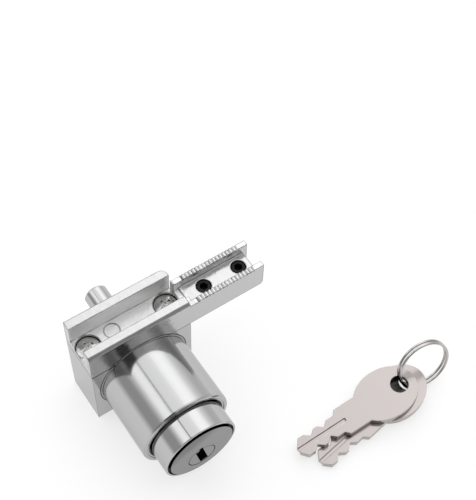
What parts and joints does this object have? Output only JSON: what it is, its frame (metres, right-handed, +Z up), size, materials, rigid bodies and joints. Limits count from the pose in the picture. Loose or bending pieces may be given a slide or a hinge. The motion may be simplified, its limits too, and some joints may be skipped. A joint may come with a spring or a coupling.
{
  "type": "slide lock",
  "caption": "Push-in slide lock for glass sliding doors: cast block with a round push cylinder, round bolt, glass channel, toothed clamp arm and flat keys on a ring.",
  "frame": {"origin": "centre of the block's base face", "axes": "+Z up from the base through the glass channel, +Y the way the bolt comes out, +X along the glass channel towards the toothed arm"},
  "size_m": [0.0917, 0.0777, 0.0334],
  "materials": {
    "body_chrome": "polished chrome on zinc",
    "bracket_chrome": "polished chrome on zinc",
    "cylinder_chrome": "polished chrome",
    "disc_chrome": "polished chrome",
    "bolt_chrome": "polished chrome",
    "plug_chrome": "nickel on brass",
    "screw_steel": "zinc plated",
    "black_steel": "black oxide",
    "spring_steel": "drawn wire",
    "brass": "milled brass",
    "key_nickel": "warm nickel plate",
    "ring_nickel": "nickel plated wire"
  },
  "bodies": {
    "lock": {"lock_body": "body_chrome", "glass_bracket": "bracket_chrome", "bracket_screw_left": "screw_steel", "bracket_screw_right": "screw_steel", "travel_stop_screw": "screw_steel", "return_spring": "spring_steel"},
    "push": {"push_cylinder": "cylinder_chrome", "face_disc": "disc_chrome", "bolt_pin": "bolt_chrome", "tongue_spring": "spring_steel"},
    "plug": {"key_plug": "plug_chrome", "plug_cam": "brass", "wafer_1": "brass", "wafer_2": "brass", "wafer_3": "brass", "wafer_4": "brass", "wafer_5": "brass"},
    "tongue": {"locking_tongue": "brass"},
    "inner_clamp": {"clamp_screw_inner": "black_steel"},
    "outer_clamp": {"clamp_screw_outer": "black_steel"},
    "key_set": {"key_lower": "key_nickel", "key_ring": "ring_nickel"},
    "top_key": {"key_upper": "key_nickel"}
  },
  "joints": [
    {"name": "cylinder_push", "type": "slide", "parent": "lock", "child": "push", "axis": [0, 1, 0], "range_m": [0, 0.007], "stiffness_N_per_m": 400, "springref_m": -0.012, "deforming": ["return_spring"]},
    {"name": "plug_turn", "type": "hinge", "parent": "push", "child": "plug", "pos_m": [0, -0.0275, 0.0103], "axis": [0, 1, 0], "range_deg": [0, 90]},
    {"name": "tongue_draw", "type": "slide", "parent": "push", "child": "tongue", "axis": [0, 0, 1], "range_m": [-0.0012, 0], "deforming": ["tongue_spring"]},
    {"name": "inner_clamp_run", "type": "slide", "parent": "lock", "child": "inner_clamp", "axis": [0, 0, 1], "range_m": [0, 0.002]},
    {"name": "outer_clamp_run", "type": "slide", "parent": "lock", "child": "outer_clamp", "axis": [0, 0, 1], "range_m": [0, 0.002]},
    {"name": "key_set_lift", "type": "slide", "parent": "lock", "child": "key_set", "axis": [0, 0, 1], "range_m": [0, 0.04]},
    {"name": "top_key_fan", "type": "hinge", "parent": "key_set", "child": "top_key", "pos_m": [0.0595, -0.0473, 0.0041], "axis": [-0.0655, -0.0098, 0.9978], "range_deg": [-60, 20]}
  ],
  "couplings": [
    {"joint": "plug_turn", "follows": "tongue_draw", "rad_per_m": -1308.9}
  ]
}
